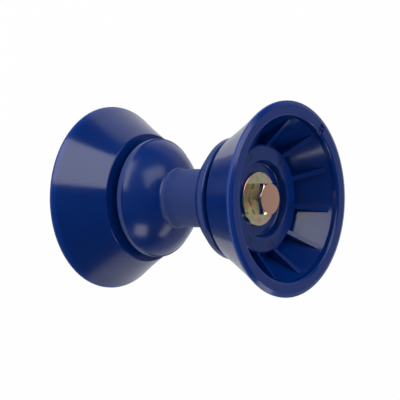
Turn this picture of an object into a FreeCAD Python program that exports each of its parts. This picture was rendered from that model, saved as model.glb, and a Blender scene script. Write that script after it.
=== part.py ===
import FreeCAD, Part
import math
import os
import Sketcher

# Boat trailer roller
# A spool roller turns on a through bolt between two flared bells. The gap between the
# spool and each bell takes one ear of the trailer's bracket. The roller stands on the
# rim of its lower bell: the axis is Z, and the origin is the centre of that rim's plane.

# Driving dimensions in millimetres, angles in degrees
SIZES = {
    # Bell, outside
    "rim_diameter": 125,  # outside of the mouth
    "bell_height": 33.8,  # small end to mouth
    "small_end_diameter": 86.4,  # outside, beside the spool
    "small_end_round": 0.9,  # edge of the small end
    "flare_radius": 200,  # hollow curve of the side
    "rim_band_height": 1.4,  # upright band under the mouth's bevel
    "rim_bevel_width": 2.6,  # radial width of the bevel round the mouth
    "rim_bevel_drop": 1.1,  # fall of that bevel
    # Bell, inside
    "lip_width": 9.8,  # radial width of the mouth's face, bevel included
    "lip_depth": 2.8,  # steep wall inside the lip
    "lip_draft": 0.3,  # how far that wall leans inwards
    "lip_round": 0.7,  # inner edge of the lip
    "wall_width": 6.9,  # radial thickness of the side at the pocket floor
    "pocket_width": 3.8,  # radial width of the pocket floor
    "base_thickness": 5.5,  # floor under the pockets
    "pocket_round": 1.2,  # foot of the hub and of the side
    "hub_depth": 21.3,  # mouth to the hub's face
    "hub_draft": 0.5,  # how far the hub's side leans outwards
    "hub_round": 1.1,  # outer edge of the hub
    "recess_diameter": 50.4,  # recess for the washer, at the hub's face
    "recess_taper": 1.2,  # how far the recess narrows to its floor
    "recess_depth": 5.1,  # hub's face to the recess floor
    "recess_round": 0.5,  # outer edge of the recess
    # Ribs of the bell
    "rib_count": 12,
    "rib_thickness": 2.7,
    "rib_gap_to_lip": 3.7,  # outer end of a rib to the lip's wall
    "rib_end_depth": 3.4,  # mouth to a rib's outer top corner
    "rib_end_lean": 0.6,  # how far a rib's outer end leans inwards at its foot
    "upper_bell_turn": 21.7,  # angle of the upper bell's first rib
    "lower_bell_turn": 8,  # angle of the lower bell's first rib
    # Spool
    "spool_length": 73,
    "land_diameter": 80.6,  # outside of each end
    "land_width": 3.6,  # straight band round each end
    "land_round": 1.0,  # outer edge of each end
    "step_drop": 0.9,  # fall of the step from the band to the dome
    "step_run": 0.5,  # length of that step along the axis
    "step_round": 0.6,  # edge of the step
    "step_fillet": 1.4,  # hollow between the step and the dome
    "dome_curve": 48,  # full curve of each dome's side
    "neck_length": 30.4,  # between the feet of the domes
    "neck_diameter": 38.4,  # waist of the spool
    "neck_round": 3.1,  # fillet between the neck and a dome
    "bracket_gap": 5.2,  # space for one bracket ear between spool and bell
    # Bolt and washers
    "bolt_diameter": 12.7,
    "bolt_past_nut": 2.35,  # point of the bolt beyond the lock nut
    "bolt_point_chamfer": 1.2,
    "head_flats": 19.05,  # across the flats of head and nut
    "head_height": 7.9,  # washer face included
    "washer_face_height": 0.4,  # round face under the head
    "washer_face_inset": 0.325,  # flats to the edge of that face
    "hex_chamfer_angle": 30,  # slope of the chamfer on a hexagon's corners
    "washer_diameter": 34.9,
    "washer_thickness": 2.3,
    # Lock nut
    "nut_hex_height": 10.9,
    "nut_height": 15.1,
    "collar_inset": 0.725,  # flats to the outside of the round collar
    "collar_wall": 1.0,  # collar round the nylon ring
    "collar_round": 1.4,  # rolled edge of the collar
    "insert_height": 2.9,  # nylon ring in the collar
    # Clearances on the radius, but for the last
    "running_clearance": 0.08,  # bolt in spool and bells
    "thread_clearance": 0.05,  # bolt in lock nut and nylon ring
    "washer_clearance": 0.8,  # bolt in a washer's hole
    "mouth_clearance": 0.75,  # bolt in the collar's rolled mouth
    "end_play": 0.2,  # between each washer and its bell, along the axis
}

doc = FreeCAD.newDocument("BoatTrailerRoller")
sheet = doc.addObject("Spreadsheet::Sheet", "Sizes")
for row, (alias, number) in enumerate(SIZES.items(), start=1):
    sheet.set(f"A{row}", alias.replace("_", " "))
    sheet.set(f"B{row}", str(number))
    sheet.setAlias(f"B{row}", alias)
doc.recompute()

# Sizes worked out from the driving dimensions
RIM_RADIUS = "Sizes.rim_diameter / 2"
MOUTH_RADIUS = f"({RIM_RADIUS} - Sizes.lip_width)"
HUB_TOP = "(Sizes.bell_height - Sizes.hub_depth)"
BELL_FLOOR = f"({HUB_TOP} - Sizes.recess_depth)"
LIP_FOOT_RADIUS = f"({MOUTH_RADIUS} - Sizes.lip_draft)"
LIP_FOOT_HEIGHT = "(Sizes.bell_height - Sizes.lip_depth)"
POCKET_RADIUS = (
    "(Sizes.small_end_diameter / 2 - Sizes.wall_width"
    " + (Sizes.rim_diameter - Sizes.small_end_diameter) / 2"
    " * Sizes.base_thickness / Sizes.bell_height)"
)
HUB_RADIUS = f"({POCKET_RADIUS} - Sizes.pocket_width - Sizes.hub_draft)"
BORE_RADIUS = "(Sizes.bolt_diameter / 2 + Sizes.running_clearance)"
BELL_LIFT = "(Sizes.bell_height + Sizes.bracket_gap)"
SPOOL_MIDDLE = f"({BELL_LIFT} + Sizes.spool_length / 2)"
TOTAL_HEIGHT = f"(2 * {BELL_LIFT} + Sizes.spool_length)"
SEAT_DEPTH = f"(Sizes.bell_height - {BELL_FLOOR} - Sizes.end_play)"
UPPER_SEAT = f"({TOTAL_HEIGHT} - {SEAT_DEPTH})"
LOWER_SEAT = SEAT_DEPTH
BOLT_LENGTH = (
    f"({UPPER_SEAT} - {LOWER_SEAT} + 2 * Sizes.washer_thickness"
    " + Sizes.nut_height + Sizes.bolt_past_nut)"
)
HEX_CORNER_RADIUS = "(Sizes.head_flats / sqrt(3))"
COLLAR_RADIUS = "(Sizes.head_flats / 2 - Sizes.collar_inset)"
COLLAR_MOUTH_RADIUS = "(Sizes.bolt_diameter / 2 + Sizes.mouth_clearance)"
INSERT_RADIUS = f"({COLLAR_RADIUS} - Sizes.collar_wall)"
INSERT_BASE = "(Sizes.nut_height - Sizes.collar_round - Sizes.insert_height)"
THREAD_RADIUS = "(Sizes.bolt_diameter / 2 + Sizes.thread_clearance)"


def value(expression):
    """Give the number that an expression on the sheet stands for."""
    return float(sheet.evalExpression(expression))


def new_body(label):
    """Start one solid piece under its own name."""
    body = doc.addObject("PartDesign::Body", label)
    body.Label = label
    return body


def origin_feature(body, role):
    """Find a plane or axis of a body's own origin."""
    for feature in body.Origin.OriginFeatures:
        if feature.Role == role:
            return feature
    raise ValueError(role)


def arc_between(start, finish, radius, turn):
    """Give the arc from start to finish, turning left (1) or right (-1)."""
    chord = finish - start
    left = FreeCAD.Vector(-chord.y, chord.x, 0).normalize()
    reach = math.sqrt(radius ** 2 - (chord.Length / 2) ** 2)
    centre = (start + finish) / 2 + left * reach * turn
    first, last = (start, finish) if turn > 0 else (finish, start)
    angles = [math.atan2(end.y - centre.y, end.x - centre.x) for end in (first, last)]
    if angles[1] < angles[0]:
        angles[1] += 2 * math.pi
    circle = Part.Circle(centre, FreeCAD.Vector(0, 0, 1), radius)
    return Part.ArcOfCircle(circle, angles[0], angles[1])


def bind(sketch, constraint, expression):
    """Add a dimension to a sketch and tie it to the sheet."""
    index = sketch.addConstraint(constraint)
    sketch.setExpression(f"Constraints[{index}]", expression)


def outline(body, name, plane_role, corners):
    """Draw a closed sketch on a plane of the body's origin.

    A corner is a pair of expressions. A third entry bends the side that leaves the
    corner: it holds the side's radius as an expression, and 1 for a left or -1 for a
    right turn.
    """
    sketch = body.newObject("Sketcher::SketchObject", name)
    sketch.AttachmentSupport = (origin_feature(body, plane_role), [""])
    sketch.MapMode = "FlatFace"
    points = [FreeCAD.Vector(value(corner[0]), value(corner[1]), 0) for corner in corners]
    sides = []
    for index, corner in enumerate(corners):
        start = points[index]
        finish = points[(index + 1) % len(points)]
        vertices = (1, 2)
        if len(corner) == 3:
            radius, turn = corner[2]
            side = sketch.addGeometry(arc_between(start, finish, value(radius), turn), False)
            bind(sketch, Sketcher.Constraint("Radius", side, value(radius)), radius)
            if turn < 0:
                vertices = (2, 1)
        else:
            side = sketch.addGeometry(Part.LineSegment(start, finish), False)
        sides.append((side, vertices))
    for index, (side, (first, last)) in enumerate(sides):
        next_side, (next_first, _) = sides[(index + 1) % len(sides)]
        sketch.addConstraint(
            Sketcher.Constraint("Coincident", side, last, next_side, next_first)
        )
        across, along = corners[index][0], corners[index][1]
        for kind, expression, axis in (("DistanceX", across, -2), ("DistanceY", along, -1)):
            if expression == "0":
                sketch.addConstraint(
                    Sketcher.Constraint("PointOnObject", side, first, axis)
                )
            else:
                place = Sketcher.Constraint(kind, -1, 1, side, first, value(expression))
                bind(sketch, place, expression)
    return sketch


def hexagon(body, name, flats):
    """Draw a hexagon with corners on the Y axis, from its size across the flats."""
    corners = []
    for step in range(6):
        angle = math.radians(90 + 60 * step)
        across = f"{math.cos(angle):.12f} * {flats} / sqrt(3)"
        along = f"{math.sin(angle):.12f} * {flats} / sqrt(3)"
        corners.append(("0" if step % 3 == 0 else across, along))
    return outline(body, name, "XY_Plane", corners)


def turned(body, name, corners):
    """Turn an outline of radii and heights round the Z axis."""
    sketch = outline(body, f"{name}_outline", "XZ_Plane", corners)
    solid = body.newObject("PartDesign::Revolution", name)
    solid.Profile = sketch
    solid.ReferenceAxis = (sketch, ["V_Axis"])
    solid.Angle = 360
    doc.recompute()
    return solid


def turned_cut(body, name, corners):
    """Cut a turned groove, given as radii and heights, out of a body."""
    sketch = outline(body, f"{name}_outline", "XZ_Plane", corners)
    cut = body.newObject("PartDesign::Groove", name)
    cut.Profile = sketch
    cut.ReferenceAxis = (sketch, ["V_Axis"])
    cut.Angle = 360
    doc.recompute()
    return cut


def ring_edges(shape, rings):
    """Name the round edges about Z at the given radii and heights."""
    names = []
    reading_error = 1e-4
    for radius, height in rings:
        for index, edge in enumerate(shape.Edges, start=1):
            if not isinstance(edge.Curve, Part.Circle):
                continue
            centre = edge.Curve.Center
            off_axis = math.hypot(centre.x, centre.y)
            miss = abs(edge.Curve.Radius - value(radius)) + abs(centre.z - value(height))
            if off_axis + miss < reading_error:
                names.append(f"Edge{index}")
    if len(names) < len(rings):
        raise ValueError("an edge to be rounded is missing")
    return names


def rounded(body, name, radius, rings):
    """Round the body's edges at the given radii and heights."""
    base = body.Tip
    fillet = body.newObject("PartDesign::Fillet", name)
    fillet.Base = (base, ring_edges(base.Shape, rings))
    fillet.setExpression("Radius", radius)
    doc.recompute()
    return fillet


def build_bell(label):
    """Build one bell with its small end at height 0 and its mouth upwards."""
    bell = new_body(label)
    small_radius = "Sizes.small_end_diameter / 2"
    band_top = "Sizes.bell_height - Sizes.rim_bevel_drop"
    band_foot = f"{band_top} - Sizes.rim_band_height"
    recess_radius = "Sizes.recess_diameter / 2"
    turned(bell, f"{label}_shell", [
        (BORE_RADIUS, "0"),
        (small_radius, "0", ("Sizes.flare_radius", -1)),
        (RIM_RADIUS, band_foot),
        (RIM_RADIUS, band_top),
        (f"{RIM_RADIUS} - Sizes.rim_bevel_width", "Sizes.bell_height"),
        (MOUTH_RADIUS, "Sizes.bell_height"),
        (LIP_FOOT_RADIUS, LIP_FOOT_HEIGHT),
        (POCKET_RADIUS, "Sizes.base_thickness"),
        (f"{HUB_RADIUS} + Sizes.hub_draft", "Sizes.base_thickness"),
        (HUB_RADIUS, HUB_TOP),
        (recess_radius, HUB_TOP),
        (f"{recess_radius} - Sizes.recess_taper", BELL_FLOOR),
        (BORE_RADIUS, BELL_FLOOR),
    ])
    rounded(bell, f"{label}_small_end_round", "Sizes.small_end_round", [(small_radius, "0")])
    rounded(bell, f"{label}_lip_round", "Sizes.lip_round", [(MOUTH_RADIUS, "Sizes.bell_height")])
    rounded(bell, f"{label}_hub_round", "Sizes.hub_round", [(HUB_RADIUS, HUB_TOP)])
    rounded(
        bell, f"{label}_recess_round", "Sizes.recess_round", [(recess_radius, HUB_TOP)]
    )
    rounded(bell, f"{label}_pocket_round", "Sizes.pocket_round", [
        (f"{HUB_RADIUS} + Sizes.hub_draft", "Sizes.base_thickness"),
        (POCKET_RADIUS, "Sizes.base_thickness"),
    ])
    build_ribs(bell, label)
    return bell


def build_ribs(bell, label):
    """Stand the ribs between the hub and the bell's side."""
    end_radius = f"{MOUTH_RADIUS} - Sizes.rib_gap_to_lip"
    inner_radius = f"{HUB_RADIUS} - Sizes.hub_round"
    side_slope = (
        f"(({LIP_FOOT_RADIUS} - {POCKET_RADIUS})"
        f" / ({LIP_FOOT_HEIGHT} - Sizes.base_thickness))"
    )
    foot_radius = f"({end_radius} - Sizes.rib_end_lean)"
    foot_height = (
        f"Sizes.base_thickness + ({foot_radius} - {POCKET_RADIUS}) / {side_slope}"
    )
    into_side = "Sizes.wall_width / 2"
    sketch = outline(bell, f"{label}_rib_outline", "XZ_Plane", [
        (inner_radius, f"{HUB_TOP} - Sizes.hub_round"),
        (inner_radius, "Sizes.base_thickness / 2"),
        (POCKET_RADIUS, "Sizes.base_thickness / 2"),
        (f"{foot_radius} + {into_side} / 2", f"{foot_height} - {into_side} / 2"),
        (foot_radius, foot_height),
        (end_radius, "Sizes.bell_height - Sizes.rib_end_depth"),
        (HUB_RADIUS, f"{HUB_TOP} - Sizes.hub_round / 3"),
    ])
    rib = bell.newObject("PartDesign::Pad", f"{label}_rib")
    rib.Profile = sketch
    rib.SideType = "Symmetric"
    rib.setExpression("Length", "Sizes.rib_thickness")
    doc.recompute()
    ribs = bell.newObject("PartDesign::PolarPattern", f"{label}_ribs")
    ribs.Originals = [rib]
    ribs.Axis = (origin_feature(bell, "Z_Axis"), [""])
    ribs.Angle = 360
    ribs.setExpression("Occurrences", "Sizes.rib_count")
    bell.Tip = ribs
    doc.recompute()


def build_upper_bell():
    """Place the bell whose mouth faces up."""
    bell = build_bell("upper_bell")
    turn = FreeCAD.Rotation(FreeCAD.Vector(0, 0, 1), value("Sizes.upper_bell_turn"))
    bell.Placement = FreeCAD.Placement(FreeCAD.Vector(), turn)
    bell.setExpression("Placement.Base.z", f"{TOTAL_HEIGHT} - Sizes.bell_height")
    bell.setExpression("Placement.Rotation.Angle", "Sizes.upper_bell_turn")
    return bell


def build_lower_bell():
    """Place the bell that the roller stands on, mouth down."""
    bell = build_bell("lower_bell")
    half_turn = FreeCAD.Rotation(FreeCAD.Vector(1, 0, 0), 180)
    first_rib = FreeCAD.Rotation(FreeCAD.Vector(0, 0, 1), value("Sizes.lower_bell_turn"))
    bell.Placement = FreeCAD.Placement(FreeCAD.Vector(), first_rib.multiply(half_turn))
    bell.setExpression("Placement.Base.z", "Sizes.bell_height")
    return bell


def build_spool():
    """Build the spool roller about its own middle."""
    spool = new_body("spool_roller")
    half = "(Sizes.spool_length / 2)"
    land = "(Sizes.land_diameter / 2)"
    land_foot = f"({half} - Sizes.land_width)"
    dome_top = f"({land} - Sizes.step_drop)"
    dome_top_height = f"({land_foot} - Sizes.step_run)"
    neck = "(Sizes.neck_diameter / 2)"
    neck_height = "(Sizes.neck_length / 2)"
    turned(spool, "spool_side", [
        (BORE_RADIUS, f"-{half}"),
        (land, f"-{half}"),
        (land, f"-{land_foot}"),
        (dome_top, f"-{dome_top_height}", ("Sizes.dome_curve", 1)),
        (neck, f"-{neck_height}"),
        (neck, neck_height, ("Sizes.dome_curve", 1)),
        (dome_top, dome_top_height),
        (land, land_foot),
        (land, half),
        (BORE_RADIUS, half),
    ])
    for name, radius, ring_radius, height in (
        ("spool_land_round", "Sizes.land_round", land, half),
        ("spool_neck_round", "Sizes.neck_round", neck, neck_height),
        ("spool_step_fillet", "Sizes.step_fillet", dome_top, dome_top_height),
        ("spool_step_round", "Sizes.step_round", land, land_foot),
    ):
        rounded(spool, name, radius, [(ring_radius, height), (ring_radius, f"-{height}")])
    spool.setExpression("Placement.Base.z", SPOOL_MIDDLE)
    return spool


def chamfer_corners(body, name, top, outwards):
    """Cut the slope off a hexagon's corners at one of its faces.

    The slope starts on the face at the size across the flats. outwards is 1 where the
    hexagon's face looks up and -1 where it looks down.
    """
    flat_radius = "Sizes.head_flats / 2"
    past = f"({HEX_CORNER_RADIUS} * 1.1)"
    fall = f"(({past} - {flat_radius}) * tan(Sizes.hex_chamfer_angle * 1deg))"
    lowered = f"{top} - {fall}" if outwards > 0 else f"{top} + {fall}"
    turned_cut(body, name, [
        (flat_radius, top),
        (past, lowered),
        (past, top),
    ])


def build_bolt():
    """Build the hex bolt with the underside of its head at height 0."""
    bolt = new_body("hex_bolt")
    shank = "Sizes.bolt_diameter / 2"
    washer_face = "(Sizes.head_flats / 2 - Sizes.washer_face_inset)"
    turned(bolt, "shank", [
        ("0", f"-{BOLT_LENGTH}"),
        (f"{shank} - Sizes.bolt_point_chamfer", f"-{BOLT_LENGTH}"),
        (shank, f"-({BOLT_LENGTH} - Sizes.bolt_point_chamfer)"),
        (shank, "0"),
        (washer_face, "0"),
        (washer_face, "Sizes.washer_face_height"),
        ("0", "Sizes.washer_face_height"),
    ])
    sketch = hexagon(bolt, "head_outline", "Sizes.head_flats")
    sketch.setExpression("AttachmentOffset.Base.z", "Sizes.washer_face_height")
    head = bolt.newObject("PartDesign::Pad", "head")
    head.Profile = sketch
    head.setExpression("Length", "Sizes.head_height - Sizes.washer_face_height")
    doc.recompute()
    chamfer_corners(bolt, "head_chamfer", "Sizes.head_height", 1)
    bolt.setExpression("Placement.Base.z", f"{UPPER_SEAT} + Sizes.washer_thickness")
    return bolt


def build_washer(label, seat):
    """Build one flat washer with its lower face at the given height."""
    washer = new_body(label)
    hole = "(Sizes.bolt_diameter / 2 + Sizes.washer_clearance)"
    turned(washer, f"{label}_ring", [
        (hole, "0"),
        ("Sizes.washer_diameter / 2", "0"),
        ("Sizes.washer_diameter / 2", "Sizes.washer_thickness"),
        (hole, "Sizes.washer_thickness"),
    ])
    washer.setExpression("Placement.Base.z", seat)
    return washer


def build_lock_nut():
    """Build the lock nut's steel body, its seat at height 0 and its collar above."""
    nut = new_body("lock_nut")
    sketch = hexagon(nut, "nut_outline", "Sizes.head_flats")
    block = nut.newObject("PartDesign::Pad", "nut_hexagon")
    block.Profile = sketch
    block.setExpression("Length", "Sizes.nut_hex_height")
    doc.recompute()
    turned(nut, "nut_collar", [
        (COLLAR_MOUTH_RADIUS, "Sizes.nut_hex_height / 2"),
        (COLLAR_RADIUS, "Sizes.nut_hex_height / 2"),
        (COLLAR_RADIUS, "Sizes.nut_height"),
        (COLLAR_MOUTH_RADIUS, "Sizes.nut_height"),
    ])
    rounded(
        nut, "nut_collar_round", "Sizes.collar_round", [(COLLAR_RADIUS, "Sizes.nut_height")]
    )
    turned_cut(nut, "nut_bore", [
        ("0", "-1"),
        (THREAD_RADIUS, "-1"),
        (THREAD_RADIUS, INSERT_BASE),
        (INSERT_RADIUS, INSERT_BASE),
        (INSERT_RADIUS, f"{INSERT_BASE} + Sizes.insert_height"),
        (COLLAR_MOUTH_RADIUS, f"{INSERT_BASE} + Sizes.insert_height"),
        (COLLAR_MOUTH_RADIUS, "Sizes.nut_height + 1"),
        ("0", "Sizes.nut_height + 1"),
    ])
    chamfer_corners(nut, "nut_seat_chamfer", "0", -1)
    chamfer_corners(nut, "nut_top_chamfer", "Sizes.nut_hex_height", 1)
    face_down(nut)
    return nut


def build_nut_insert():
    """Build the nylon ring that grips the thread."""
    ring = new_body("nut_insert")
    turned(ring, "insert_ring", [
        (THREAD_RADIUS, INSERT_BASE),
        (INSERT_RADIUS, INSERT_BASE),
        (INSERT_RADIUS, f"{INSERT_BASE} + Sizes.insert_height"),
        (THREAD_RADIUS, f"{INSERT_BASE} + Sizes.insert_height"),
    ])
    face_down(ring)
    return ring


def face_down(body):
    """Hang a piece of the lock nut from the lower washer."""
    body.Placement.Rotation = FreeCAD.Rotation(FreeCAD.Vector(1, 0, 0), 180)
    body.setExpression("Placement.Base.z", f"{LOWER_SEAT} - Sizes.washer_thickness")


def check(pieces):
    """Stop if a feature failed or a piece is not one valid solid."""
    for item in doc.Objects:
        if "Invalid" in item.State or "Error" in item.State:
            raise RuntimeError(f"{item.Label} failed")
    for piece in pieces:
        shape = piece.Shape
        if shape.isNull() or not shape.isValid() or len(shape.Solids) != 1:
            raise RuntimeError(f"{piece.Label} is not one valid solid")


def main():
    """Build every piece, check it and write its file."""
    pieces = [
        build_spool(),
        build_upper_bell(),
        build_lower_bell(),
        build_bolt(),
        build_washer("head_washer", UPPER_SEAT),
        build_washer("nut_washer", f"{LOWER_SEAT} - Sizes.washer_thickness"),
        build_lock_nut(),
        build_nut_insert(),
    ]
    doc.recompute()
    check(pieces)
    os.makedirs("parts", exist_ok=True)
    for piece in pieces:
        piece.Shape.exportStep(f"parts/{piece.Label}.step")
        box = piece.Shape.optimalBoundingBox()
        print(f"{piece.Label}: {piece.Shape.Volume:.0f} mm3, {box.ZMin:.2f} to {box.ZMax:.2f}")


main()
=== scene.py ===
"""Looks of a boat trailer roller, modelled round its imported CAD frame.

A spool roller turns on a through bolt between two flared, ribbed bells. The roller stands
on the rim of its lower bell with its axis on Z. Objects are in metres; the fields of the
sub-assemblies below are in millimetres, as on a drawing, and angles are in degrees.
"""

import logging
import math
from dataclasses import dataclass
from enum import Enum
from typing import Callable, Iterable, Optional, Union

import bpy
from mathutils import Matrix, Vector


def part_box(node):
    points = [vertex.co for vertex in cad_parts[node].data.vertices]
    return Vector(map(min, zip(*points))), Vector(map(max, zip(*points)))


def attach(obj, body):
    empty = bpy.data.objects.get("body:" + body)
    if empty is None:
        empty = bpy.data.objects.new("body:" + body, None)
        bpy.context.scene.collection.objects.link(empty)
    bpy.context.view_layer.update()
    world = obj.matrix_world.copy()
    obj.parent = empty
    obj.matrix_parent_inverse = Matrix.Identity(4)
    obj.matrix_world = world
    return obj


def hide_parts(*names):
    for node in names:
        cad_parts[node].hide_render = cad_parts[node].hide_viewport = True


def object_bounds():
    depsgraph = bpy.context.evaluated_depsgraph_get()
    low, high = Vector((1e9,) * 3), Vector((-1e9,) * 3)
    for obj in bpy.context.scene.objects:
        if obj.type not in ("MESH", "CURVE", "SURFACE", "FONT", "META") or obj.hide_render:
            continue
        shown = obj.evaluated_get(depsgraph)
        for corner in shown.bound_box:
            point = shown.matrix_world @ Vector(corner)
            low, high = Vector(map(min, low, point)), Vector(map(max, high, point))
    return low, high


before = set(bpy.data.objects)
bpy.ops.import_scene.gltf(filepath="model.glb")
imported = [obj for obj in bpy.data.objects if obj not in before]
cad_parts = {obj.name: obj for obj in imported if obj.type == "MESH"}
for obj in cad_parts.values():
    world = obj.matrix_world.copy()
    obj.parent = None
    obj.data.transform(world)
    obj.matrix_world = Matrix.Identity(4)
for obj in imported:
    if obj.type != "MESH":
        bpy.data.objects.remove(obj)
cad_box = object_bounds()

MM = 0.001
MERGE_DISTANCE = 2e-6
FULL_TURN = 2 * math.pi
# A blank or a cutting tool reaches past the form that it makes by this many millimetres,
# or by a few times as many.
SPARE = 1.0
# Most of a noise pattern lies between these two values.
NOISE_LOW, NOISE_HIGH = 0.3, 0.7
# In the blue plastics, blue light travels furthest under the surface and red the least.
BLUE_GLOW = (0.2, 0.5, 1.0)

log = logging.getLogger("boat_trailer_roller")


class Steps(Enum):
    """How finely a piece is divided round its axis."""

    SMALL = 96
    MEDIUM = 144
    LARGE = 240


def linear(colour: str) -> tuple[float, float, float, float]:
    """Turn an sRGB hex colour into the linear one that Blender takes.

    Args:
        colour: six hex digits after a hash.

    Returns:
        Linear red, green and blue, and an alpha of 1.
    """
    channels = []
    for start in (1, 3, 5):
        part = int(colour[start:start + 2], 16) / 255
        channels.append(part / 12.92 if part <= 0.04045 else ((part + 0.055) / 1.055) ** 2.4)
    return (*channels, 1.0)


def add_node(
    tree: bpy.types.NodeTree,
    kind: str,
    settings: Optional[dict[Union[str, int], object]] = None,
    links: Optional[dict[Union[str, int], bpy.types.NodeSocket]] = None,
) -> bpy.types.Node:
    """Add one node with its settings and links.

    Args:
        tree: the node tree that takes the node.
        kind: Blender's type name of the node, without ShaderNode before it.
        settings: values by the name or number of an input, or by the name of a property.
        links: output sockets by the name or number of the input that they feed.

    Returns:
        The new node.
    """
    node = tree.nodes.new("ShaderNode" + kind)
    for name, value in (settings or {}).items():
        if isinstance(name, str) and name in node.bl_rna.properties:
            setattr(node, name, value)
        else:
            node.inputs[name].default_value = value
    for name, output in (links or {}).items():
        tree.links.new(output, node.inputs[name])
    return node


def new_material(name: str) -> tuple[bpy.types.Material, bpy.types.NodeTree]:
    """Make an empty node material.

    Args:
        name: the finish's common name.

    Returns:
        The material and its cleared node tree.
    """
    material = bpy.data.materials.new(name)
    material.use_nodes = True
    material.node_tree.nodes.clear()
    return material, material.node_tree


def per_millimetre(size: float) -> float:
    """Give the texture scale at which a pattern repeats about every size millimetres."""
    return 1 / (size * MM)


def clouds(
    tree: bpy.types.NodeTree, place: bpy.types.NodeSocket, size: float, detail: float,
    colours: tuple[str, str],
) -> tuple[bpy.types.NodeSocket, bpy.types.NodeSocket]:
    """Blend two colours in soft clouds.

    Args:
        tree: the material's node tree.
        place: the place on the piece.
        size: how many millimetres a cloud measures.
        detail: how many finer layers the clouds have.
        colours: the two colours in hex.

    Returns:
        The blended colour, and the cloud pattern from 0 to 1.
    """
    pattern = add_node(
        tree, "TexNoise", {"Scale": per_millimetre(size), "Detail": detail}, {"Vector": place}
    ).outputs["Fac"]
    colour = add_node(
        tree, "Mix", {"data_type": "RGBA", 6: linear(colours[0]), 7: linear(colours[1])},
        {0: pattern},
    )
    return colour.outputs[2], pattern


def relief(
    tree: bpy.types.NodeTree, place: bpy.types.NodeSocket,
    *grains: tuple[float, float, float],
) -> bpy.types.NodeSocket:
    """Raise grains on one another.

    Args:
        tree: the material's node tree.
        place: the place on the piece.
        grains: the size and height in millimetres and the detail of each, the finest first.

    Returns:
        The normal of the surface with all its grains.
    """
    below = {}
    for size, height, detail in grains:
        grain = add_node(
            tree, "TexNoise", {"Scale": per_millimetre(size), "Detail": detail},
            {"Vector": place},
        )
        bump = add_node(
            tree, "Bump", {"Strength": 1.0, "Distance": height * MM},
            {"Height": grain.outputs["Fac"], **below},
        )
        below = {"Normal": bump.outputs["Normal"]}
    return below["Normal"]


@dataclass(frozen=True)
class GlossyMouldedPvc:
    """Injection-moulded PVC from a polished mould.

    It gives a deep, even blue under a sharp gloss that the faint orange peel of the
    moulding bends a little. Its rim is painted a lighter blue, a painted glow for the light
    that the thin rim lets through.
    """

    name: str = "glossy_moulded_pvc"
    colours: tuple[str, str] = ("#022465", "#042970")
    roughness: float = 0.13
    roughness_spread: float = 0.07
    wear_low: float = 0.3
    wear_high: float = 0.75
    # Painted glow: the rim is painted this lighter blue, blended in outwards to rim_radius, for
    # light that the thin rim lets through.
    painted_rim_glow_colour: str = "#063182"
    rim_radius: float = 60.6
    painted_rim_glow_blend: float = 1.2
    shade_size: float = 18.0
    wear_size: float = 6.0
    orange_peel_size: float = 3.2
    orange_peel_height: float = 0.012
    # Real scuffs are about 0.1 mm wide. They are drawn coarser, so that they show.
    scuff_size: float = 0.7
    scuff_height: float = 0.0012
    ior: float = 1.53
    glow: float = 0.4
    glow_depth: float = 2.5

    def build(self) -> bpy.types.Material:
        """Make the material.

        Returns:
            The finish, ready for a piece.
        """
        material, tree = new_material(self.name)
        place = add_node(tree, "TexCoord").outputs["Object"]
        colour, _ = clouds(tree, place, self.shade_size, 3.0, self.colours)
        # Painted glow: beyond a radius near the rim, the colour is mixed into a lighter blue that
        # stands in for light coming through the thin rim.
        across = add_node(
            tree, "VectorMath", {"operation": "MULTIPLY", 1: (1.0, 1.0, 0.0)}, {0: place}
        )
        radius = add_node(
            tree, "VectorMath", {"operation": "LENGTH"}, {0: across.outputs[0]}
        )
        rim = add_node(
            tree, "MapRange",
            {"From Min": (self.rim_radius - self.painted_rim_glow_blend) * MM,
             "From Max": self.rim_radius * MM},
            {"Value": radius.outputs["Value"]},
        )
        colour = add_node(
            tree, "Mix", {"data_type": "RGBA", 7: linear(self.painted_rim_glow_colour)},
            {0: rim.outputs["Result"], 6: colour},
        )
        wear = add_node(
            tree, "TexNoise",
            {"Scale": per_millimetre(self.wear_size), "Detail": 5.0, "Roughness": 0.7},
            {"Vector": place},
        )
        roughness = add_node(
            tree, "MapRange",
            {"From Min": self.wear_low, "From Max": self.wear_high, "To Min": self.roughness,
             "To Max": self.roughness + self.roughness_spread},
            {"Value": wear.outputs["Fac"]},
        )
        normal = relief(
            tree, place, (self.scuff_size, self.scuff_height, 2.0),
            (self.orange_peel_size, self.orange_peel_height, 1.0),
        )
        shader = add_node(
            tree, "BsdfPrincipled",
            {"IOR": self.ior, "Subsurface Weight": self.glow, "Subsurface Radius": BLUE_GLOW,
             "Subsurface Scale": self.glow_depth * MM},
            {"Base Color": colour.outputs[2], "Roughness": roughness.outputs["Result"],
             "Normal": normal},
        )
        add_node(tree, "OutputMaterial", {}, {"Surface": shader.outputs["BSDF"]})
        return material


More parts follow.
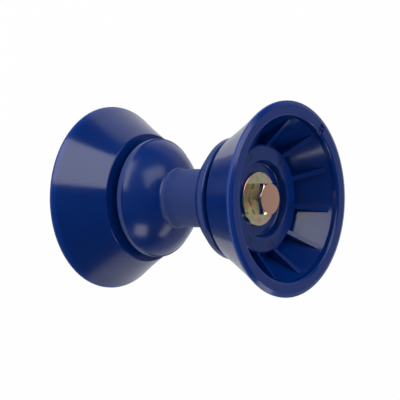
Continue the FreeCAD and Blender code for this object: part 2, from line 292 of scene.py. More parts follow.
@dataclass(frozen=True)
class SatinElastomer:
    """Thermoplastic rubber from a lightly blasted mould.

    It gives the domes broad, soft highlights. The neck's mould was blasted rougher, which
    spreads what it reflects into an even, lighter blue.
    """

    name: str = "satin_moulded_elastomer"
    colours: tuple[str, str] = ("#03276C", "#05307C")
    roughness: float = 0.19
    roughness_spread: float = 0.07
    neck_roughness: float = 0.55
    neck_reach: float = 11.0
    neck_blend: float = 2.0
    middle: float = 75.5
    shade_size: float = 14.0
    # The blasted grain is about 0.1 mm. It is drawn coarser, so that it shows.
    grain_size: float = 0.55
    grain_height: float = 0.006
    ripple_size: float = 7.0
    ripple_height: float = 0.03
    ior: float = 1.5
    glow: float = 0.4
    glow_depth: float = 3.0

    def build(self) -> bpy.types.Material:
        """Make the material.

        Returns:
            The finish, ready for a piece.
        """
        material, tree = new_material(self.name)
        place = add_node(tree, "TexCoord").outputs["Object"]
        colour, shade = clouds(tree, place, self.shade_size, 4.0, self.colours)
        satin = add_node(
            tree, "MapRange",
            {"From Min": NOISE_LOW, "From Max": NOISE_HIGH, "To Min": self.roughness,
             "To Max": self.roughness + self.roughness_spread},
            {"Value": shade},
        )
        height = add_node(tree, "SeparateXYZ", {}, {0: place})
        off_middle = add_node(
            tree, "Math", {"operation": "SUBTRACT", 1: self.middle * MM},
            {0: height.outputs["Z"]},
        )
        reach = add_node(tree, "Math", {"operation": "ABSOLUTE"}, {0: off_middle.outputs[0]})
        neck = add_node(
            tree, "MapRange",
            {"From Min": (self.neck_reach + self.neck_blend) * MM,
             "From Max": self.neck_reach * MM},
            {"Value": reach.outputs[0]},
        )
        roughness = add_node(
            tree, "Mix", {"data_type": "FLOAT", 3: self.neck_roughness},
            {0: neck.outputs["Result"], 2: satin.outputs["Result"]},
        )
        normal = relief(
            tree, place, (self.grain_size, self.grain_height, 2.0),
            (self.ripple_size, self.ripple_height, 1.0),
        )
        shader = add_node(
            tree, "BsdfPrincipled",
            {"IOR": self.ior, "Subsurface Weight": self.glow, "Subsurface Radius": BLUE_GLOW,
             "Subsurface Scale": self.glow_depth * MM},
            {"Base Color": colour, "Roughness": roughness.outputs[0], "Normal": normal},
        )
        add_node(tree, "OutputMaterial", {}, {"Surface": shader.outputs["BSDF"]})
        return material


@dataclass(frozen=True)
class YellowZincPlate:
    """Steel, barrel-plated with zinc and dipped in yellow chromate.

    The thin chromate film drifts from straw to olive green and rose, over a bright metal
    that tumbling in the barrel has dulled with fine scratches. On the end face of the bolt's
    head the film is rose all over.
    """

    name: str = "yellow_zinc_plated_steel"
    straw: str = "#F0EACA"
    olive: str = "#DEDFB8"
    rose: str = "#FAC6B0"
    roughness: float = 0.09
    roughness_spread: float = 0.09
    rose_above: float = 134.85
    film_size: float = 9.0
    film_spread: float = 0.14
    dent_size: float = 1.1
    dent_height: float = 0.006
    # Real scratches are about 0.05 mm wide. They are drawn coarser, so that they show.
    scratch_size: float = 0.25
    scratch_height: float = 0.0015

    def build(self) -> bpy.types.Material:
        """Make the material.

        Returns:
            The finish, ready for a piece.
        """
        material, tree = new_material(self.name)
        place = add_node(tree, "TexCoord").outputs["Object"]
        film = add_node(
            tree, "TexNoise",
            {"Scale": per_millimetre(self.film_size), "Detail": 3.0, "Distortion": 0.6},
            {"Vector": place},
        )
        tint = add_node(tree, "ValToRGB", {}, {"Fac": film.outputs["Fac"]})
        stops = tint.color_ramp.elements
        stops[0].position, stops[0].color = 0.5 - self.film_spread, linear(self.olive)
        stops[1].position, stops[1].color = 0.5 + self.film_spread, linear(self.rose)
        stops.new(0.5).color = linear(self.straw)
        height = add_node(tree, "SeparateXYZ", {}, {0: place})
        end_face = add_node(
            tree, "Math", {"operation": "GREATER_THAN", 1: self.rose_above * MM},
            {0: height.outputs["Z"]},
        )
        colour = add_node(
            tree, "Mix", {"data_type": "RGBA", 7: linear(self.rose)},
            {0: end_face.outputs[0], 6: tint.outputs["Color"]},
        )
        scratch = add_node(
            tree, "TexNoise", {"Scale": per_millimetre(self.scratch_size), "Detail": 3.0},
            {"Vector": place},
        )
        roughness = add_node(
            tree, "MapRange",
            {"From Min": NOISE_LOW, "From Max": NOISE_HIGH, "To Min": self.roughness,
             "To Max": self.roughness + self.roughness_spread},
            {"Value": scratch.outputs["Fac"]},
        )
        normal = relief(
            tree, place, (self.scratch_size, self.scratch_height, 3.0),
            (self.dent_size, self.dent_height, 2.0),
        )
        shader = add_node(
            tree, "BsdfPrincipled", {"Metallic": 1.0},
            {"Base Color": colour.outputs[2], "Roughness": roughness.outputs["Result"],
             "Normal": normal},
        )
        add_node(tree, "OutputMaterial", {}, {"Surface": shader.outputs["BSDF"]})
        return material


@dataclass(frozen=True)
class NaturalNylon:
    """Uncoloured moulded nylon: a waxy off-white that light enters a little way."""

    name: str = "natural_moulded_nylon"
    colours: tuple[str, str] = ("#CFCBBB", "#E0DDD0")
    shade_size: float = 3.0
    bump_height: float = 0.01
    roughness: float = 0.38
    ior: float = 1.53
    glow: float = 0.15
    glow_depth: float = 0.5

    def build(self) -> bpy.types.Material:
        """Make the material.

        Returns:
            The finish, ready for a piece.
        """
        material, tree = new_material(self.name)
        place = add_node(tree, "TexCoord").outputs["Object"]
        colour, _ = clouds(tree, place, self.shade_size, 3.0, self.colours)
        shader = add_node(
            tree, "BsdfPrincipled",
            {"IOR": self.ior, "Roughness": self.roughness, "Subsurface Weight": self.glow,
             "Subsurface Scale": self.glow_depth * MM},
            {"Base Color": colour,
             "Normal": relief(tree, place, (self.shade_size, self.bump_height, 3.0))},
        )
        add_node(tree, "OutputMaterial", {}, {"Surface": shader.outputs["BSDF"]})
        return material


def deselect_all() -> None:
    """Leave nothing selected in object mode."""
    bpy.ops.object.select_all(action="DESELECT")


def activate(piece: bpy.types.Object) -> None:
    """Select one piece alone and make it the active one.

    Args:
        piece: the piece that the next operators work on.
    """
    deselect_all()
    piece.select_set(True)
    bpy.context.view_layer.objects.active = piece


def select_vertices(piece: bpy.types.Object, wanted: Callable[[Vector], bool]) -> None:
    """Go into edit mode with only the wanted vertices selected.

    Args:
        piece: the mesh piece to edit.
        wanted: says from a vertex's place whether it is selected.
    """
    activate(piece)
    bpy.ops.object.mode_set(mode="EDIT")
    bpy.ops.mesh.select_mode(type="VERT")
    bpy.ops.mesh.select_all(action="DESELECT")
    bpy.ops.object.mode_set(mode="OBJECT")
    for vertex in piece.data.vertices:
        vertex.select = wanted(vertex.co)
    bpy.ops.object.mode_set(mode="EDIT")


def select_edges(piece: bpy.types.Object, wanted: Callable[[Vector], bool]) -> None:
    """Go into edit mode with only the wanted edges selected.

    Args:
        piece: the mesh piece to edit.
        wanted: says from a vertex's place whether an edge may end there.
    """
    activate(piece)
    bpy.ops.object.mode_set(mode="EDIT")
    bpy.ops.mesh.select_mode(type="EDGE")
    bpy.ops.mesh.select_all(action="DESELECT")
    bpy.ops.object.mode_set(mode="OBJECT")
    corners = piece.data.vertices
    for edge in piece.data.edges:
        edge.select = all(wanted(corners[index].co) for index in edge.vertices)
    bpy.ops.object.mode_set(mode="EDIT")


def clean_up(piece: bpy.types.Object) -> None:
    """Merge a closed mesh's doubles and turn its faces outwards.

    Args:
        piece: the closed mesh.
    """
    select_vertices(piece, lambda place: True)
    bpy.ops.mesh.remove_doubles(threshold=MERGE_DISTANCE)
    bpy.ops.mesh.normals_make_consistent(inside=False)
    bpy.ops.object.mode_set(mode="OBJECT")


def smooth(piece: bpy.types.Object, angle: float = 32.0) -> None:
    """Shade a piece smooth, with large faces kept flat beside their rounded edges.

    Args:
        piece: the finished mesh.
        angle: edges sharper than this, in degrees, stay sharp.
    """
    activate(piece)
    bpy.ops.object.shade_smooth_by_angle(angle=math.radians(angle))
    modifier = piece.modifiers.new("large_faces_first", "WEIGHTED_NORMAL")
    modifier.keep_sharp = True
    modifier.weight = 80
    bpy.ops.object.modifier_apply(modifier=modifier.name)


def boolean(piece: bpy.types.Object, tool: bpy.types.Object, operation: str) -> None:
    """Cut a piece with a tool, or keep what they share, and delete the tool.

    Args:
        piece: the closed mesh that stays.
        tool: the closed mesh that cuts.
        operation: DIFFERENCE, INTERSECT or UNION.
    """
    modifier = piece.modifiers.new("cut", "BOOLEAN")
    modifier.operation = operation
    modifier.solver = "EXACT"
    modifier.object = tool
    activate(piece)
    bpy.ops.object.modifier_apply(modifier=modifier.name)
    bpy.data.objects.remove(tool)


def join(pieces: Iterable[bpy.types.Object], name: str) -> bpy.types.Object:
    """Join meshes into the first of them.

    Args:
        pieces: the meshes to join.
        name: what the joined piece is called.

    Returns:
        The joined piece.
    """
    parts = list(pieces)
    activate(parts[0])
    for part in parts:
        part.select_set(True)
    bpy.ops.object.join()
    parts[0].name = name
    parts[0].data.name = name
    return parts[0]


def copy_piece(piece: bpy.types.Object, name: str) -> bpy.types.Object:
    """Copy a piece, with a mesh of its own.

    Args:
        piece: the piece to copy.
        name: what the copy is called.

    Returns:
        The copy, at the same place.
    """
    twin = piece.copy()
    twin.data = piece.data.copy()
    twin.name = twin.data.name = name
    bpy.context.scene.collection.objects.link(twin)
    return twin


def draw_line(name: str, points: list[tuple[float, float]]) -> bpy.types.Object:
    """Draw an open line in the XZ plane, one vertex after the other.

    Args:
        name: what the line's piece is called.
        points: the radius and height of each vertex, in millimetres.

    Returns:
        The line, still in edit mode.
    """
    deselect_all()
    bpy.ops.mesh.primitive_plane_add(size=MM)
    line = bpy.context.object
    line.name = line.data.name = name
    bpy.ops.object.mode_set(mode="EDIT")
    bpy.ops.mesh.select_mode(type="VERT")
    bpy.ops.mesh.select_all(action="SELECT")
    bpy.ops.mesh.merge(type="CENTER")
    here = points[0]
    bpy.ops.transform.translate(value=(here[0] * MM, 0.0, here[1] * MM))
    for there in points[1:]:
        step = ((there[0] - here[0]) * MM, 0.0, (there[1] - here[1]) * MM)
        bpy.ops.mesh.extrude_region_move(TRANSFORM_OT_translate={"value": step})
        here = there
    return line


def place_piece(
    piece: bpy.types.Object, height: float, turn: float = 0.0, upside_down: bool = False
) -> None:
    """Put a piece modelled about the origin at its place, and leave that in its mesh.

    Args:
        piece: the piece.
        height: where its own height 0 goes, in metres.
        turn: how far it turns about Z, in degrees.
        upside_down: whether it is first turned over about X.
    """
    activate(piece)
    piece.rotation_euler = (math.pi if upside_down else 0.0, 0.0, math.radians(turn))
    piece.location = (0.0, 0.0, height)
    bpy.ops.object.transform_apply(location=True, rotation=True, scale=True)


def hand_over(
    piece: bpy.types.Object, material: bpy.types.Material, body: str, node: str
) -> None:
    """Dress a finished piece and tie it to the frame.

    Args:
        piece: the finished piece.
        material: its finish.
        body: the CAD body that it moves with.
        node: the CAD node that it stands for.
    """
    piece.data.materials.clear()
    piece.data.materials.append(material)
    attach(piece, body)
    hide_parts(node)
    log.info("%s: %d faces, rides on %s", piece.name, len(piece.data.polygons), body)


@dataclass(frozen=True)
class Corner:
    """One corner of a turned outline: its radius, height and rounding in millimetres.

    Where curve isn't 0, the side that leaves the corner is an arc of that radius. It
    turns left if curve is above 0 and right if it is below.
    """

    radius: float
    height: float
    rounding: float = 0.0
    curve: float = 0.0


@dataclass
class TurnedForm:
    """A closed outline drawn vertex by vertex, rounded, and spun about Z."""

    name: str
    corners: list[Corner]
    steps: Steps = Steps.MEDIUM
    arc_step: float = 1.6
    rounding_segments: int = 5

    def arc(self, start: Corner, finish: Corner) -> list[tuple[float, float]]:
        """Give the points between two corners on the arc that joins them.

        Args:
            start: the corner that the arc leaves, which holds its radius.
            finish: the corner that it reaches.

        Returns:
            Radius and height of each point in millimetres, without the two corners.
        """
        across, up = finish.radius - start.radius, finish.height - start.height
        chord = math.hypot(across, up)
        bend = abs(start.curve)
        side = math.copysign(1, start.curve)
        reach = math.sqrt(bend ** 2 - chord ** 2 / 4) * side
        centre_radius = (start.radius + finish.radius) / 2 - up / chord * reach
        centre_height = (start.height + finish.height) / 2 + across / chord * reach
        first = math.atan2(start.height - centre_height, start.radius - centre_radius)
        sweep = 2 * math.asin(chord / 2 / bend) * side
        count = max(2, round(chord / self.arc_step))
        points = []
        for index in range(1, count):
            angle = first + sweep * index / count
            points.append(
                (centre_radius + bend * math.cos(angle), centre_height + bend * math.sin(angle))
            )
        return points

    def draw(self) -> bpy.types.Object:
        """Draw the outline, close it and round its corners.

        Returns:
            The outline as one flat face.
        """
        points = []
        for index, corner in enumerate(self.corners):
            points.append((corner.radius, corner.height))
            if corner.curve:
                points += self.arc(corner, self.corners[(index + 1) % len(self.corners)])
        piece = draw_line(self.name, points)
        bpy.ops.object.mode_set(mode="OBJECT")
        ends = [Vector((radius, 0, height)) for radius, height in (points[0], points[-1])]
        select_vertices(
            piece, lambda place: any((place / MM - end).length < 1e-3 for end in ends)
        )
        bpy.ops.mesh.edge_face_add()
        bpy.ops.object.mode_set(mode="OBJECT")
        self.round_corners(piece, points)
        return piece

    def round_corners(
        self, piece: bpy.types.Object, points: list[tuple[float, float]]
    ) -> None:
        """Bevel the vertices of the corners that have a rounding.

        Args:
            piece: the drawn outline.
            points: its points in order, in millimetres.
        """
        for corner in self.corners:
            if not corner.rounding:
                continue
            index = points.index((corner.radius, corner.height))
            here = Vector(points[index])
            back = (Vector(points[index - 1]) - here).normalized()
            ahead = (Vector(points[(index + 1) % len(points)]) - here).normalized()
            half_angle = math.acos(max(-1.0, min(1.0, back.dot(ahead)))) / 2
            spot = Vector((here.x, 0, here.y)) * MM
            select_vertices(piece, lambda place: (place - spot).length < 1e-6)
            bpy.ops.mesh.bevel(
                offset=corner.rounding * MM / math.tan(half_angle),
                offset_type="OFFSET",
                segments=self.rounding_segments,
                profile=0.5,
                affect="VERTICES",
            )
            bpy.ops.object.mode_set(mode="OBJECT")

    def build(self) -> bpy.types.Object:
        """Draw the outline and spin it about Z.

        Returns:
            The closed mesh.
        """
        piece = self.draw()
        select_vertices(piece, lambda place: True)
        bpy.ops.mesh.spin(
            steps=self.steps.value, angle=FULL_TURN, center=(0, 0, 0), axis=(0, 0, 1)
        )
        bpy.ops.object.mode_set(mode="OBJECT")
        clean_up(piece)
        return piece


def block(
    name: str, low: tuple[float, float, float], high: tuple[float, float, float]
) -> bpy.types.Object:
    """Add a box.

    Args:
        name: what the box is called.
        low: its lowest corner in millimetres.
        high: its highest corner.

    Returns:
        The box, with its place in its mesh.
    """
    centre = [(a + b) / 2 * MM for a, b in zip(low, high)]
    size = [(b - a) * MM for a, b in zip(low, high)]
    deselect_all()
    bpy.ops.mesh.primitive_cube_add(size=1, location=centre, scale=size)
    piece = bpy.context.object
    piece.name = piece.data.name = name
    bpy.ops.object.transform_apply(location=True, rotation=True, scale=True)
    return piece


def slice_off(
    piece: bpy.types.Object, point: tuple[float, float], outwards: tuple[float, float]
) -> None:
    """Cut away what lies beyond a plane that stands square to the XZ plane.

    Args:
        piece: the closed mesh.
        point: a point of the plane, as radius and height in millimetres.
        outwards: the plane's normal, towards what is cut away.
    """
    select_vertices(piece, lambda place: True)
    bpy.ops.mesh.bisect(
        plane_co=(point[0] * MM, 0, point[1] * MM),
        plane_no=(outwards[0], 0, outwards[1]),
        use_fill=True,
        clear_outer=True,
    )
    bpy.ops.object.mode_set(mode="OBJECT")


@dataclass
class Bell:
    """A flared bell: a turned shell with a ribbed inside, its small end at height 0."""

    height: float
    rim_radius: float
    bore_radius: float = 6.43
    bore_round: float = 0.4
    small_end_radius: float = 42.7
    small_end_round: float = 0.9
    flare_radius: float = 400.0
    rim_band_height: float = 1.4
    rim_bevel_width: float = 2.6
    rim_bevel_drop: float = 1.1
    rim_edge_round: float = 0.35
    lip_width: float = 9.6
    lip_depth: float = 4.3
    lip_draft: float = 0.1
    lip_round: float = 1.6
    lip_foot_round: float = 0.4
    wall_width: float = 6.6
    pocket_width: float = 3.9
    base_thickness: float = 5.5
    pocket_round: float = 1.2
    hub_depth: float = 21.3
    hub_draft: float = 0.5
    hub_round: float = 1.8
    recess_radius: float = 24.6
    recess_taper: float = 1.2
    recess_depth: float = 5.1
    recess_round: float = 0.5
    recess_foot_round: float = 1.4
    rib_count: int = 12
    rib_top: float = 2.9
    rib_foot: float = 3.2
    rib_edge_round: float = 0.45
    rib_start_drop: float = 0.6
    rib_end_depth: float = 3.4
    rib_end_radius: float = 50.4
    rib_sink: float = 1.65
    mark_radius: float = 3.1
    mark_height: float = 0.07
    mark_border: float = 0.5
    mark_round: float = 0.1
    mark_sink: float = 0.5
    mark_circle: float = 30.0
    mark_angles: tuple[float, ...] = (-7.0, 58.0, 120.0, 188.0, 250.0, 308.0)
    gate_angle: float = 122.0
    gate_width: float = 4.6
    gate_depth: float = 1.3
    gate_round: float = 0.5
    # The gate's channel stops this far inside the rim's bevel, and a slot lies across it.
    channel_margin: float = 0.6
    slot_width: float = 5.52
    slot_depth: float = 1.82
    slot_span: tuple[float, float] = (5.8, 2.6)

    @property
    def mouth_radius(self) -> float:
        """Inner edge of the lip."""
        return self.rim_radius - self.lip_width

    @property
    def side_foot_radius(self) -> float:
        """Where the side's inner face meets the pocket floor."""
        flare = (self.rim_radius - self.small_end_radius) / self.height
        return self.small_end_radius - self.wall_width + flare * self.base_thickness

    @property
    def hub_radius(self) -> float:
        """Outer edge of the hub's face."""
        return self.side_foot_radius - self.pocket_width - self.hub_draft

    @property
    def hub_top(self) -> float:
        """Height of the hub's face."""
        return self.height - self.hub_depth

    def shell(self) -> bpy.types.Object:
        """Turn the shell.

        Returns:
            The bell without its ribs and marks.
        """
        band_top = self.height - self.rim_bevel_drop
        band_foot = band_top - self.rim_band_height
        floor = self.hub_top - self.recess_depth
        lip_foot = self.height - self.lip_depth
        corners = [
            Corner(self.bore_radius, 0.0, self.bore_round),
            Corner(self.small_end_radius, 0.0, self.small_end_round, -self.flare_radius),
            Corner(self.rim_radius, band_foot, self.rim_edge_round),
            Corner(self.rim_radius, band_top, self.rim_edge_round),
            Corner(
                self.rim_radius - self.rim_bevel_width, self.height, self.rim_edge_round
            ),
            Corner(self.mouth_radius, self.height, self.lip_round),
            Corner(self.mouth_radius - self.lip_draft, lip_foot, self.lip_foot_round),
            Corner(self.side_foot_radius, self.base_thickness, self.pocket_round),
            Corner(self.hub_radius + self.hub_draft, self.base_thickness, self.pocket_round),
            Corner(self.hub_radius, self.hub_top, self.hub_round),
            Corner(self.recess_radius, self.hub_top, self.recess_round),
            Corner(self.recess_radius - self.recess_taper, floor, self.recess_foot_round),
            Corner(self.bore_radius, floor, self.bore_round),
        ]
        return TurnedForm("bell_shell", corners, Steps.LARGE).build()

    def cut_gate(self, shell: bpy.types.Object) -> None:
        """Cut the mark of the moulding gate across the lip.

        Args:
            shell: the turned shell.
        """
        radius = self.rim_radius - self.rim_bevel_width
        top = self.height + 2 * SPARE
        channel = block(
            "gate_channel",
            (self.mouth_radius - 2 * SPARE, -self.gate_width / 2, self.height - self.gate_depth),
            (radius - self.channel_margin, self.gate_width / 2, top),
        )
        inner, outer = (radius - inset for inset in self.slot_span)
        slot = block(
            "gate_slot",
            (inner, -self.slot_width / 2, self.height - self.slot_depth),
            (outer, self.slot_width / 2, top),
        )
        for cutter in (channel, slot):
            select_vertices(cutter, lambda place: True)
            bpy.ops.mesh.bevel(offset=self.gate_round * MM, segments=3, affect="EDGES")
            bpy.ops.object.mode_set(mode="OBJECT")
            place_piece(cutter, 0.0, self.gate_angle)
            boolean(shell, cutter, "DIFFERENCE")

    def rib(self) -> bpy.types.Object:
        """Model one rib along +X and round its edges.

        Returns:
            The rib, its foot sunk in the floor and its back in the wall.
        """
        slope = (self.mouth_radius - self.lip_draft - self.side_foot_radius) / (
            self.height - self.lip_depth - self.base_thickness
        )
        end_height = self.height - self.rib_end_depth
        root = self.hub_radius - self.hub_round
        start = self.hub_top - self.rib_start_drop
        half = self.rib_foot / 2
        rib = block(
            "rib", (root, -half, self.base_thickness / 2),
            (self.rib_end_radius, half, end_height + 5 * SPARE),
        )
        rise = Vector((self.rib_end_radius - self.hub_radius, end_height - start))
        slice_off(rib, (self.hub_radius, start), (-rise.y, rise.x))
        in_wall = self.side_foot_radius + self.rib_sink
        slice_off(rib, (in_wall, self.base_thickness), (1.0, -slope))

        def on_top(place: Vector) -> bool:
            """Tell whether a vertex, placed in metres, lies on the rib's top or just below it."""
            along = Vector((place.x / MM - self.hub_radius, place.z / MM - start))
            return rise.cross(along) / rise.length > -0.2

        for vertex in rib.data.vertices:
            if on_top(vertex.co):
                vertex.co.y *= self.rib_top / self.rib_foot
        select_edges(rib, on_top)
        bpy.ops.mesh.bevel(offset=self.rib_edge_round * MM, segments=3, affect="EDGES")
        bpy.ops.object.mode_set(mode="OBJECT")
        clean_up(rib)
        return rib

    def ribs(self) -> bpy.types.Object:
        """Model one rib and copy it round the hub.

        Returns:
            All the ribs as one mesh.
        """
        rib = self.rib()
        select_vertices(rib, lambda place: True)
        bpy.ops.mesh.spin(
            steps=self.rib_count - 1,
            dupli=True,
            angle=FULL_TURN * (self.rib_count - 1) / self.rib_count,
            center=(0, 0, 0),
            axis=(0, 0, 1),
        )
        bpy.ops.object.mode_set(mode="OBJECT")
        return rib

    def ejector_marks(self) -> list[bpy.types.Object]:
        """Raise the low discs that the mould's ejector pins leave on the hub.

        Returns:
            The discs, each at its place.
        """
        marks = []
        inner = self.mark_radius - self.mark_border
        face = self.mark_height / 4
        first = TurnedForm("ejector_mark", [
            Corner(0.0, -self.mark_sink),
            Corner(self.mark_radius, -self.mark_sink),
            Corner(self.mark_radius, self.mark_height, self.mark_round),
            Corner(inner, self.mark_height, self.mark_round),
            Corner(inner - self.mark_round, face, self.mark_round),
            Corner(0.0, face),
        ], Steps.SMALL).build()
        for angle in self.mark_angles:
            mark = copy_piece(first, "ejector_mark")
            activate(mark)
            turn = math.radians(angle)
            mark.location = (
                self.mark_circle * math.cos(turn) * MM,
                self.mark_circle * math.sin(turn) * MM,
                self.hub_top * MM,
            )
            bpy.ops.object.transform_apply(location=True, rotation=True, scale=True)
            marks.append(mark)
        bpy.data.objects.remove(first)
        return marks

    def build(self, name: str) -> bpy.types.Object:
        """Model the whole bell about its own small end.

        Args:
            name: what the bell is called.

        Returns:
            The bell, standing on its small end.
        """
        shell = self.shell()
        self.cut_gate(shell)
        bell = join([shell, self.ribs(), *self.ejector_marks()], name)
        smooth(bell)
        return bell


@dataclass
class BellPair:
    """The two bells, from one mould, each turned its own way on the bolt."""

    upper_turn: float = 21.3
    lower_turn: float = 8.0
    rim_inset: float = 0.8

    def build(self) -> tuple[bpy.types.Object, bpy.types.Object]:
        """Model one bell and copy it for the other end.

        Returns:
            The upper and the lower bell, each at its place.
        """
        upper_low, upper_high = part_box("upper_bell")
        _, lower_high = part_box("lower_bell")
        model = Bell(
            height=(upper_high.z - upper_low.z) / MM,
            rim_radius=(upper_high.x - upper_low.x) / 2 / MM - self.rim_inset,
        )
        upper = model.build("moulded_upper_bell")
        lower = copy_piece(upper, "moulded_lower_bell")
        place_piece(upper, upper_low.z, self.upper_turn)
        place_piece(lower, lower_high.z, self.lower_turn, upside_down=True)
        return upper, lower

    def dress(self, upper: bpy.types.Object, lower: bpy.types.Object) -> None:
        """Give both bells their finish and bodies.

        Args:
            upper: the bell at the bolt's head.
            lower: the bell that the roller stands on.
        """
        finish = GlossyMouldedPvc().build()
        hand_over(upper, finish, "upper_bell", "upper_bell")
        hand_over(lower, finish, "lower_bell", "lower_bell")


@dataclass
class Spool:
    """The spool roller, modelled about its own middle."""

    bore_radius: float = 6.43
    bore_round: float = 0.6
    land_radius: float = 39.5
    land_width: float = 4.6
    land_round: float = 1.8
    step_drop: float = 0.9
    step_run: float = 0.5
    step_round: float = 0.3
    dome_round: float = 0.5
    dome_curve: float = 40.0
    neck_length: float = 31.6
    neck_radius: float = 19.1
    neck_round: float = 5.5

    def build(self) -> bpy.types.Object:
        """Turn the spool and put it between the bells.

        Returns:
            The spool at its place.
        """
        low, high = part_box("spool_roller")
        half = (high.z - low.z) / 2 / MM
        land_foot = half - self.land_width
        dome_top = self.land_radius - self.step_drop
        dome_foot = land_foot - self.step_run
        neck_half = self.neck_length / 2
        corners = [
            Corner(self.bore_radius, -half, self.bore_round),
            Corner(self.land_radius, -half, self.land_round),
            Corner(self.land_radius, -land_foot, self.step_round),
            Corner(dome_top, -dome_foot, self.dome_round, self.dome_curve),
            Corner(self.neck_radius, -neck_half, self.neck_round),
            Corner(self.neck_radius, neck_half, self.neck_round, self.dome_curve),
            Corner(dome_top, dome_foot, self.dome_round),
            Corner(self.land_radius, land_foot, self.step_round),
            Corner(self.land_radius, half, self.land_round),
            Corner(self.bore_radius, half, self.bore_round),
        ]
        spool = TurnedForm(
            "moulded_spool", corners, Steps.LARGE, arc_step=1.2, rounding_segments=6
        ).build()
        smooth(spool, angle=40)
        place_piece(spool, (low.z + high.z) / 2)
        return spool

    def dress(self, spool: bpy.types.Object) -> None:
        """Give the spool its finish and body."""
        hand_over(spool, SatinElastomer().build(), "spool", "spool_roller")


